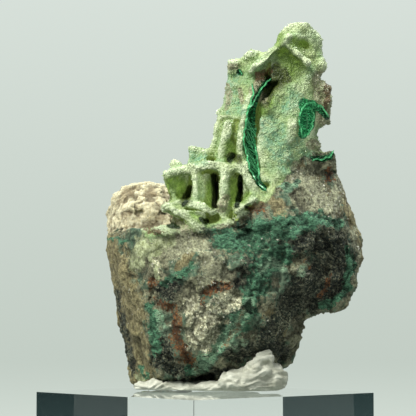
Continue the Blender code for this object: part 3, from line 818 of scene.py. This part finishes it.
def druse_shades():
    """The quartz-coated chrysocolla: sugary pale green in the open, paler on the rims partly as painted
    highlight, lime green in some hollows, and painted shade, painted shadow and near-black painted shadow in
    the hollows, under the roof and in the cells' gaps.
    """
    group, given, result = new_group("druse_shades", Where="Vector", **dict.fromkeys(DRUSE_MASKS, "Float"))
    where = given["Where"]
    broad = ranged(group, noise_node(group, where, 3.2, 4.0), 0.35, 0.68)
    fine = ranged(group, noise_node(group, where, 0.7, 5.0, 0.75), 0.32, 0.68)
    sugar = add_node(group, "ShaderNodeRGBToBW", Color=cells_node(group, where, 0.26, "Color")).outputs[0]
    grain = ranged(group, math_node(group, "MULTIPLY_ADD", fine, 0.4, sugar), 0.35, 1.05)
    colour = mixed(group, broad, *DRUSE_COLOURS)
    mottle = ranged(group, noise_node(group, where, 1.2, 5.0, 0.72), 0.46, 0.62, 0.0, 0.70)
    colour = mixed(group, mottle, colour, MOTTLE_COLOUR)
    # Paler sugar on the rims: partly the thicker crust there and partly painted highlight.
    open_face = ranged(group, given["edge"], 0.42, 0.95)
    open_face = product(group, open_face, ranged(group, grain, 0.0, 0.7, 0.45, 0.85))
    colour = mixed(group, open_face, colour, OPEN_FACE_COLOUR)
    tint = product(group, ranged(group, given["tint"], 0.1, 0.9), fine)
    colour = mixed(group, product(group, tint, 0.9), colour, TINT_COLOUR)
    # Painted shade: darker greens where the druse lies hidden in hollows, less so on the rims.
    depth = math_node(group, "MULTIPLY_ADD", given["edge"], -0.8, given["hidden"])
    depth = ranged(group, depth, 0.05, 0.55)
    colour = mixed(group, depth, colour, mixed(group, fine, *HOLLOW_SHADE_COLOURS))
    lime = mixed(group, fine, *LIME_COLOURS)
    colour = mixed(group, product(group, given["lime"], 0.9), colour, lime)
    # Painted shadow: dark olive where the roof and the plates would shade the druse.
    shadowed = product(group, ranged(group, given["painted_shadow"], 0.10, 0.85), 0.95)
    colour = mixed(group, shadowed, colour, mixed(group, fine, *PAINTED_SHADOW_COLOURS))
    share = ranged(group, given["greyed"], 0.1, 0.6)
    share = product(group, share, ranged(group, grain, 0.0, 0.8, 0.45, 0.95))
    colour = mixed(group, share, colour, mixed(group, fine, *GREYED_COLOURS))
    # Painted shadow: near black in the cells' gaps.
    colour = mixed(group, ranged(group, given["gap"], 0.25, 0.85), colour, PAINTED_GAP_SHADOW_COLOUR)
    sparkle = ranged(group, grain, 0.0, 1.0, 0.90, 1.12)
    group.links.new(scaled(group, colour, sparkle), result.inputs["Colour"])
    return group


DRUSE_SHADES = druse_shades()


def druse_colour(tree, where, masks):
    node = add_node(tree, "ShaderNodeGroup", node_tree=DRUSE_SHADES, Where=where)
    feed(tree, node, {name: masks[name] for name in DRUSE_MASKS})
    return node.outputs["Colour"]


def layer_masks(tree, layers):
    """The masks in a piece's vertex colours, each under its name."""
    masks = {}
    for layer, names in layers.items():
        colour = add_node(tree, "ShaderNodeAttribute", attribute_name=layer).outputs["Color"]
        masks.update(zip(names, add_node(tree, "ShaderNodeSeparateColor", Color=colour).outputs))
    return masks


def stone_material():
    made, tree, shader = new_material("copper_ore")
    where = object_place(tree)
    zone = layer_masks(tree, ZONE_LAYERS)

    coarse = ranged(tree, noise_node(tree, where, 3.5, 6.0, 0.62), 0.36, 0.64)
    medium = ranged(tree, noise_node(tree, where, 1.1, 7.0, 0.74), 0.34, 0.66)
    fine = noise_node(tree, where, 0.34, 5.0, 0.75)
    fine_shade = ranged(tree, fine, 0.32, 0.68)
    fibre = noise_node(tree, where, 0.52, 6.0, 0.75, (0.7, 1.0, 2.4), 1.4)
    fibre_shade = ranged(tree, fibre, 0.36, 0.64)
    other = ranged(tree, noise_node(tree, where, 0.6, 6.0, 0.8, (1.3, 1.0, 0.8), 0.8), 0.37, 0.63)
    speck = add_node(tree, "ShaderNodeRGBToBW", Color=cells_node(tree, where, 0.26, "Color")).outputs[0]
    speck_shade = ranged(tree, speck, 0.35, 0.80)

    colour = mixed(tree, other, *MINERALS["rock"])
    colour = mixed(tree, product(tree, speck_shade, 0.35), colour, SPECK_COLOUR)
    veil = product(tree, ranged(tree, coarse, 0.45, 0.85), 0.6)
    colour = mixed(tree, veil, colour, VEIL_COLOUR)
    colour = patch(tree, colour, "tan", zone["tan"], medium, other)
    colour = patch(tree, colour, "quartz", zone["quartz"], other, fine_shade)
    flaked = product(tree, fibre_shade, speck_shade)
    colour = patch(tree, colour, "dark", zone["dark"], other, flaked)
    colour = patch(tree, colour, "teal", zone["teal"], medium, fibre_shade)
    wisps = ranged(tree, fibre, 0.56, 0.70)
    wisps = product(tree, wisps, ranged(tree, zone["teal"], 0.3, 0.9))
    colour = mixed(tree, product(tree, wisps, 0.6), colour, WISP_COLOUR)
    rusty = product(tree, zone["rust"], ranged(tree, medium, 0.1, 0.8, 0.60, 1.0))
    rust_shade = product(tree, fine_shade, other)
    colour = patch(tree, colour, "rust", rusty, other, rust_shade)
    fleck = ranged(tree, noise_node(tree, where, 0.75, 5.0, 0.8, (0.8, 1.0, 1.2), 2.0), 0.60, 0.70)
    colour = mixed(tree, product(tree, fleck, 0.75), colour, FLECK_COLOUR)
    streak = product(tree, ranged(tree, zone["pale_teal"], 0.2, 0.9), ranged(tree, fibre, 0.40, 0.60))
    colour = mixed(tree, product(tree, streak, 0.85), colour, STREAK_COLOUR)
    colour = patch(tree, colour, "cream", zone["cream"], medium, speck_shade)
    colour = patch(tree, colour, "yellow", zone["yellow"], medium, other)
    colour = patch(tree, colour, "cream_lump", zone["cream_lump"], medium, other)
    pits = product(tree, ranged(tree, zone["crest"], 0.55, 0.15), ranged(tree, zone["cream_lump"], 0.3, 0.7))
    colour = mixed(tree, product(tree, pits, 0.55), colour, PIT_COLOUR)
    sugar = druse_colour(tree, where, zone)
    stain = ranged(tree, math_node(tree, "MULTIPLY_ADD", fine_shade, 0.6, zone["rust"]), 0.65, 0.95)
    sugar = mixed(tree, product(tree, stain, 0.85), sugar, STAIN_COLOUR)
    crust = ranged(tree, math_node(tree, "MULTIPLY_ADD", fine_shade, 0.55, zone["druse"]), 0.60, 0.92)
    colour = mixed(tree, crust, colour, sugar)
    green = ranged(tree, zone["malachite"], 0.40, 0.60)
    threads = ranged(tree, fibre, 0.50, 0.64)
    colour = mixed(tree, green, colour, mixed(tree, threads, *MINERALS["malachite"]))
    # Painted shade and highlight: the rock, not the sugar, is darker where it lies low or in hollows and
    # lighter on its crests and rims.
    on_rock = ranged(tree, zone["druse"], 0.7, 0.3)
    for shade in (ranged(tree, zone["crest"], 0.32, 0.62, 0.75, 1.15),
                  ranged(tree, zone["edge"], 0.25, 0.75, 0.72, 1.22)):
        shade = add_node(tree, "ShaderNodeMix", Factor=on_rock, A=1.0, B=shade).outputs[0]
        colour = scaled(tree, colour, shade)

    # Painted light: the sugar glows in its hollows, more in the lime zones and not in the painted shadows,
    # and the painted_light zones glow as well, most on the malachite.
    glow = product(tree, ranged(tree, zone["hidden"], 0.3, 0.9), crust)
    in_painted_shadow = math_node(tree, "MAXIMUM", zone["gap"], zone["painted_shadow"])
    glow = product(tree, glow, ranged(tree, in_painted_shadow, 0.8, 0.2))
    glow = product(tree, glow, ranged(tree, zone["lime"], 0.2, 0.9, 1.0, 1.5))
    through = math_node(tree, "MULTIPLY_ADD", green, 2.2, 1.2)
    glow = math_node(tree, "MULTIPLY_ADD", zone["painted_light"], through, glow)

    rough = ranged(tree, fine, 0.3, 0.7, 0.50, 0.80)
    rough = math_node(tree, "MULTIPLY_ADD", crust, -0.34, rough)
    rough = math_node(tree, "MULTIPLY_ADD", green, -0.32, rough)

    cells = product(tree, cells_node(tree, where, 0.30), -0.5)
    splinters = math_node(tree, "ADD", math_node(tree, "MULTIPLY_ADD", fibre, 1.2, fine), cells)
    points = math_node(tree, "MULTIPLY_ADD", fine, 0.35, cells)
    relief = add_node(tree, "ShaderNodeMix", Factor=crust, A=splinters, B=points).outputs[0]
    bump = add_node(tree, "ShaderNodeBump", Height=relief, Strength=1.0, Distance=0.32 * MM)
    feed(tree, shader, {"Base Color": colour, "Roughness": rough, "Specular IOR Level": 0.28,
                        "Emission Color": scaled(tree, colour, glow), "Emission Strength": 0.30,
                        "Normal": bump.outputs["Normal"]})
    return made


stone = make_stone()
stone.data.materials.append(stone_material())
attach(stone, "root")
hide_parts("specimen")


# The quartz druse: tiny pointed crystals that coat the tower's plates and glint here and there on the rock.
# They grew on the stone, so each stands on its surface, and all of them are one mesh.
TOWER_CRYSTALS = 10000
ROCK_CRYSTALS = 2500
CRYSTAL_SIDES = 6
CRYSTAL_LEAN = 0.30
CRYSTAL_ROOT = 0.08
NARROWEST = 0.10
WIDEST = 0.34
TOWER_SEED = 21
ROCK_SEED = 22
CLEAR_QUARTZ = ((0.13, 0.13, 0.09), (0.58, 0.58, 0.47))
QUARTZ_IOR = 1.54
HOST_LAYERS = {
    "host_a": ("hidden", "tint", "tone"),
    "host_b": ("lime", "gap", "greyed"),
    "host_c": ("druse", "edge", "painted_shadow"),
}


def crystal_points(piece, count, weights, seed):
    """Random spots on the mesh's triangles, picked by area times weight: place, normal and a near vertex."""
    mesh = piece.data
    picker = np.random.default_rng(seed)
    points, normals = places(mesh), facings(mesh)
    # A triangle's first corner counts twice, so that four corners span it.
    corners = np.array([(*p.vertices, p.vertices[0]) for p in mesh.polygons])
    area = np.empty(len(mesh.polygons), np.float32)
    mesh.polygons.foreach_get("area", area)
    odds = area * weights[corners].mean(axis=1)
    face = picker.choice(len(odds), size=count, p=odds / odds.sum())
    share = picker.random((count, 2))
    a, b, c, d = (points[corners[face, k]] for k in range(4))
    spot = (a * (1 - share[:, :1]) + b * share[:, :1]) * (1 - share[:, 1:])
    spot += (d * (1 - share[:, :1]) + c * share[:, :1]) * share[:, 1:]
    return spot, normals[corners[face, 0]], corners[face, 0], picker


def crystal_mesh(name, spots, normals, widths, picker):
    """Joins one six-sided point for each spot into a mesh; each leans a little off its normal."""
    count = len(spots)
    lean = normals + picker.normal(0, CRYSTAL_LEAN, (count, 3))
    axis = lean / np.linalg.norm(lean, axis=1, keepdims=True)
    side = np.cross(axis, picker.normal(0, 1, (count, 3)))
    side /= np.linalg.norm(side, axis=1, keepdims=True)
    other = np.cross(axis, side)
    length = widths * picker.uniform(0.5, 1.1, count)
    turns = np.arange(CRYSTAL_SIDES) * math.tau / CRYSTAL_SIDES
    ring = np.cos(turns)[None, :, None] * side[:, None] + np.sin(turns)[None, :, None] * other[:, None]
    foot = spots[:, None] + ring * widths[:, None, None] / 2 - (axis * CRYSTAL_ROOT)[:, None]
    tip = spots + axis * length[:, None]
    verts = np.concatenate([foot, tip[:, None]], axis=1)
    verts[..., 2] = np.minimum(verts[..., 2], HULL_TOP)
    size = CRYSTAL_SIDES + 1
    faces = [tuple(reversed(range(CRYSTAL_SIDES)))]
    faces += [(k, (k + 1) % CRYSTAL_SIDES, CRYSTAL_SIDES) for k in range(CRYSTAL_SIDES)]
    mesh = bpy.data.meshes.new(name)
    mesh.from_pydata((verts.reshape(-1, 3) * MM).tolist(), [],
                     [tuple(i * size + v for v in face) for i in range(count) for face in faces])
    return linked(name, mesh), size


def read_masks(mesh, layers):
    """The masks stored in a mesh's vertex colours, each under its name."""
    masks = {}
    for layer, names in layers.items():
        flat = np.empty(len(mesh.vertices) * 4, np.float32)
        mesh.color_attributes[layer].data.foreach_get("color", flat)
        masks.update(zip(names, flat.reshape(-1, 4).T))
    return masks


def make_druse():
    zone = read_masks(stone.data, ZONE_LAYERS)
    exposed = 1.1 - zone["hidden"]
    tower = zone["druse"] * (1 - zone["malachite"] * 1.6) * (1 - zone["lime"] * 0.7) * (1 - zone["gap"])
    tower = np.clip(tower, 0, 1)
    rock = np.clip(1 - zone["druse"] - zone["cream_lump"] * 0.8, 0, 1)
    rock = rock * (0.10 + zone["quartz"] + zone["cream"])
    on_tower = crystal_points(stone, TOWER_CRYSTALS, tower * exposed, TOWER_SEED)
    on_rock = crystal_points(stone, ROCK_CRYSTALS, rock * exposed, ROCK_SEED)
    spots, normals, hosts = (np.concatenate([on_tower[k], on_rock[k]]) for k in range(3))
    picker = on_tower[3]
    widths = NARROWEST + (WIDEST - NARROWEST) * picker.random(len(spots)) ** 3
    piece, size = crystal_mesh("quartz_druse", spots, normals, widths, picker)
    host = {name: mask[hosts] for name, mask in zone.items()}
    host["tone"] = picker.random(len(spots))
    for layer, names in HOST_LAYERS.items():
        paint(piece.data, layer, [np.repeat(host[name], size) for name in names])
    return piece


def druse_material():
    made, tree, shader = new_material("quartz_points")
    where = object_place(tree)
    host = layer_masks(tree, HOST_LAYERS)
    # The points take the druse's colours at their foot, its painted shade and painted shadows included.
    pale = ranged(tree, host["tone"], 0.3, 1.0, 0.96, 1.28)
    pale = scaled(tree, druse_colour(tree, where, host), pale)
    clear = mixed(tree, host["tone"], *CLEAR_QUARTZ)
    colour = mixed(tree, ranged(tree, host["druse"], 0.3, 0.7), clear, pale)
    rough = ranged(tree, host["tone"], 0.4, 0.9, 0.30, 0.06)
    feed(tree, shader, {"Base Color": colour, "Roughness": rough, "IOR": QUARTZ_IOR})
    return made


druse = make_druse()
druse.data.materials.append(druse_material())
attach(druse, "root")


# The malachite: thin standing sheets of dark green crystals that line the slit in the tower's front, the
# notch at its right and the ledge below, with hair-fine fibres across the slit. They grew on the stone, as
# one crust.
BLADE_THICKNESS = 0.24
BLADE_DEPTH = 1.6
FIBRE_RADIUS = 0.05
FIBRE_COUNT = 34
FIBRE_STEPS = 6
FIBRE_SEED = 9
SLIT_STEPS = 40
BLADE_STEPS = 7
BLADES_PX = (
    (0.60, ((271, 78), (265, 84), (259, 92), (254, 101), (249, 110))),
    (0.45, ((252, 83), (253, 93), (251, 102), (248, 111), (246, 121), (244, 133), (244, 145), (247, 158),
            (250, 169), (256, 181))),
    (0.20, ((256, 126), (254, 138), (256, 150), (258, 162), (259, 174), (259, 182))),
    (0.30, ((258, 182), (262, 187), (267, 191))),
    (0.50, ((299, 119), (301, 109), (306, 103), (314, 102), (321, 106), (326, 112), (330, 118))),
    (0.40, ((299, 119), (300, 129), (303, 138))),
    (0.30, ((306, 107), (308, 118), (306, 130), (304, 138))),
    (0.45, ((312, 107), (314, 116), (312, 126), (308, 136))),
    (0.40, ((312, 161), (317, 159), (325, 159), (331, 156), (334, 150))),
    (0.40, ((240, 70), (242, 75))),
)
SLIT_LEFT_PX = ((247, 116), (245, 140), (249, 164))
SLIT_RIGHT_PX = ((256, 124), (256, 148), (258, 172))
BLADE_GREENS = ((0.012, 0.14, 0.045), (0.095, 0.47, 0.185))


def sight(column, row):
    """The direction from the eye through a pixel of the photograph."""
    across = (column - FRAME_PX / 2) / FOCAL_PX
    along = (FRAME_PX / 2 - row) / FOCAL_PX
    return (LOOK + RIGHT * across + UP * along).normalized()


def resampled(trail, count):
    """Points at even steps along a bent line."""
    line = np.array(trail, float)
    runs = np.concatenate([[0.0], np.cumsum(np.hypot(*np.diff(line, axis=0).T))])
    steps = np.linspace(0, runs[-1], count)
    return np.stack([np.interp(steps, runs, line[:, k]) for k in range(line.shape[1])], axis=1)


def rim_depths(tree, line):
    """How far from the eye the stone's nearest face lies about each pixel of a line, smoothed along it."""
    depths = []
    for column, row in line:
        found = []
        for across, along in ((0, 0), (-2, 0), (2, 0), (0, -2), (0, 2)):
            hit = tree.ray_cast(EYE, sight(column + across, row + along))
            if hit[0] is not None:
                found.append(hit[3])
        depths.append(min(found) if found else np.nan)
    depths = np.array(depths)
    known = ~np.isnan(depths)
    depths = np.interp(np.arange(len(line)), np.flatnonzero(known), depths[known])
    padded = np.pad(depths, 3, mode="edge")
    return np.convolve(padded, np.ones(7) / 7, mode="valid")


def add_blade(bm, tree, stand, trail):
    count = len(trail) * BLADE_STEPS
    line = resampled(trail, count)
    depths = rim_depths(tree, line)
    run = np.gradient(line, axis=0)
    run /= np.linalg.norm(run, axis=1, keepdims=True)
    rings = []
    for index, (column, row) in enumerate(line):
        ends = min(1.0, 0.25 + min(index, count - 1 - index) / 4)
        wave = noise.noise((column * 0.23, row * 0.23, stand))
        near = depths[index] - stand * ends * (0.9 + 0.5 * wave)
        half = BLADE_THICKNESS / 2 * ends * FOCAL_PX / depths[index]
        off = np.array((-run[index][1], run[index][0])) * half
        middle = np.array((column, row)) + off * wave * 2
        ring = []
        for side, depth in ((1, near), (-1, near), (-1, near + BLADE_DEPTH), (1, near + BLADE_DEPTH)):
            ring.append(bm.verts.new((EYE + sight(*(middle + off * side)) * depth) * MM))
        rings.append(ring)
    for first, second in zip(rings, rings[1:]):
        for k in range(4):
            bm.faces.new((first[k], first[(k + 1) % 4], second[(k + 1) % 4], second[k]))
    bm.faces.new(reversed(rings[0]))
    bm.faces.new(rings[-1])


def add_fibre(bm, start, end, sag):
    """A thread with a three-sided section from one point to another, in mm."""
    rings = []
    for step in range(FIBRE_STEPS + 1):
        t = step / FIBRE_STEPS
        middle = start.lerp(end, t) + sag * math.sin(math.pi * t)
        rings.append([bm.verts.new((middle + (RIGHT * math.cos(a) + UP * math.sin(a)) * FIBRE_RADIUS) * MM)
                      for a in (0.5, 0.5 + math.tau / 3, 0.5 + math.tau * 2 / 3)])
    for first, second in zip(rings, rings[1:]):
        for k in range(3):
            bm.faces.new((first[k], first[(k + 1) % 3], second[(k + 1) % 3], second[k]))
    bm.faces.new(reversed(rings[0]))
    bm.faces.new(rings[-1])


def make_malachite():
    tree = solid_tree(stone.data, places(stone.data))
    bm = bmesh.new()
    for stand, trail in BLADES_PX:
        add_blade(bm, tree, stand, trail)
    chance = random.Random(FIBRE_SEED)
    left, right = resampled(SLIT_LEFT_PX, SLIT_STEPS), resampled(SLIT_RIGHT_PX, SLIT_STEPS)
    depth = float(rim_depths(tree, left).mean())
    for _ in range(FIBRE_COUNT):
        first = chance.randrange(0, SLIT_STEPS)
        last = min(SLIT_STEPS - 1, max(0, first + chance.randrange(-6, 22)))
        start = EYE + sight(*left[first]) * (depth + chance.uniform(0.0, 0.8))
        end = EYE + sight(*right[last]) * (depth + chance.uniform(0.2, 1.2))
        sag = RIGHT * chance.uniform(-0.3, 0.3) + UP * chance.uniform(-0.5, 0.2)
        add_fibre(bm, start, end, sag)
    bmesh.ops.recalc_face_normals(bm, faces=bm.faces)
    mesh = bpy.data.meshes.new("malachite_blades")
    bm.to_mesh(mesh)
    bm.free()
    return linked("malachite_blades", mesh)


def malachite_material():
    made, tree, shader = new_material("malachite")
    where = object_place(tree)
    bands = ranged(tree, noise_node(tree, where, 0.4, 5.0, 0.75), 0.40, 0.64)
    green = mixed(tree, bands, *BLADE_GREENS)
    # Painted light: the blades glow with their own green.
    feed(tree, shader, {"Base Color": green, "Roughness": 0.28, "Emission Color": green,
                        "Emission Strength": 0.22})
    return made


blades = make_malachite()
blades.data.materials.append(malachite_material())
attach(blades, "root")


# The putty: white mineral tack, kneaded and pressed by hand between stone and block, so that it shows folds,
# drag marks and torn edges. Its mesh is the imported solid's, fused again and creased.
PUTTY_VOXEL = 0.20
PUTTY_SMOOTHING = 6
PUTTY_INSET = 0.06
PUTTY_COLOURS = ((0.37, 0.38, 0.30), (0.575, 0.590, 0.495))
SOILED_COLOUR = (0.42, 0.41, 0.33)


def make_putty():
    putty = merged_copy("mineral_tack", "putty")
    apply_modifier(putty, "REMESH", mode="VOXEL", voxel_size=PUTTY_VOXEL * MM)
    apply_modifier(putty, "SMOOTH", factor=0.5, iterations=PUTTY_SMOOTHING)
    points, normals = places(putty.data), facings(putty.data)
    floor = points[:, 2].min()
    above = soft_step(points[:, 2] - floor, 0.05, 0.6)
    bend = points + np.stack([lumps(points, 3.0, k) for k in (3.0, 13.0, 23.0)], axis=1) * 1.2
    folds = ridges(bend, (2.6, 2.0, 0.9), 6.0) - 0.5
    drag = lumps(bend, (1.6, 1.2, 0.30), 8.0)
    torn = grains(points, 0.9, 3.0) - 0.5
    push = above * (0.42 * folds + 0.08 * drag + 0.04 * lumps(points, 0.5) + 0.20 * facets(bend, 1.9, 3.0))
    push += above * 0.10 * torn * lumps(points, 4.0, 2.0)
    points += normals * (push - PUTTY_INSET)[:, None]
    points[:, 2] = np.maximum(points[:, 2], floor)
    put_places(putty.data, points)
    chosen(putty)
    bpy.ops.object.shade_smooth()
    return putty


def putty_material():
    made, tree, shader = new_material("white_mineral_tack")
    where = object_place(tree)
    smear = noise_node(tree, where, 1.8, 5.0, 0.65, (0.6, 0.8, 1.8))
    fine = noise_node(tree, where, 0.35, 4.0, 0.7)
    colour = mixed(tree, ranged(tree, smear, 0.35, 0.65), *PUTTY_COLOURS)
    colour = mixed(tree, ranged(tree, fine, 0.58, 0.74, 0.0, 0.35), colour, SOILED_COLOUR)
    relief = math_node(tree, "MULTIPLY_ADD", smear, 2.0, fine)
    bump = add_node(tree, "ShaderNodeBump", Height=relief, Strength=0.6, Distance=0.12 * MM)
    feed(tree, shader, {"Base Color": colour, "Roughness": ranged(tree, fine, 0.3, 0.7, 0.6, 0.85),
                        "Normal": bump.outputs["Normal"]})
    return made


putty = make_putty()
putty.data.materials.append(putty_material())
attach(putty, "root")
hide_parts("putty")


# The display block: a solid prism of clear cast acrylic with polished faces and a hair-fine chamfer. It
# stands loose on the floor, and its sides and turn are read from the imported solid's corners.
BLOCK_EDGE = 0.06
BLOCK_TRIM = 0.145
ACRYLIC_COLOUR = (0.97, 0.985, 0.985)
ACRYLIC_IOR = 1.49


def make_block():
    corners = places(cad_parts["display_block"].data)
    height = corners[:, 2].max()
    turns = np.radians(np.arange(0.0, 90.0, 0.05))
    reaches = [np.abs(corners[:, 0] * math.cos(a) + corners[:, 1] * math.sin(a)).max() for a in turns]
    inward = min(reaches) - BLOCK_TRIM
    turn = float(turns[int(np.argmin(reaches))])
    bpy.ops.mesh.primitive_cube_add(size=1.0, location=(0, 0, height / 2 * MM), rotation=(0, 0, turn))
    block = bpy.context.object
    block.name = "clear_block"
    block.scale = (2 * inward * MM, 2 * inward * MM, height * MM)
    bpy.ops.object.transform_apply(location=True, rotation=True, scale=True)
    apply_modifier(block, "BEVEL", width=BLOCK_EDGE * MM, segments=1, limit_method="NONE")
    return block


def acrylic_material():
    made, tree, shader = new_material("clear_acrylic")
    wiped = noise_node(tree, object_place(tree), 3.0, 5.0, 0.7, (1.0, 1.0, 0.3))
    feed(tree, shader, {"Base Color": ACRYLIC_COLOUR, "IOR": ACRYLIC_IOR, "Transmission Weight": 1.0,
                        "Roughness": ranged(tree, wiped, 0.45, 0.75, 0.004, 0.03)})
    return made


block = make_block()
block.data.materials.append(acrylic_material())
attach(block, "root")
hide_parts("display_block")
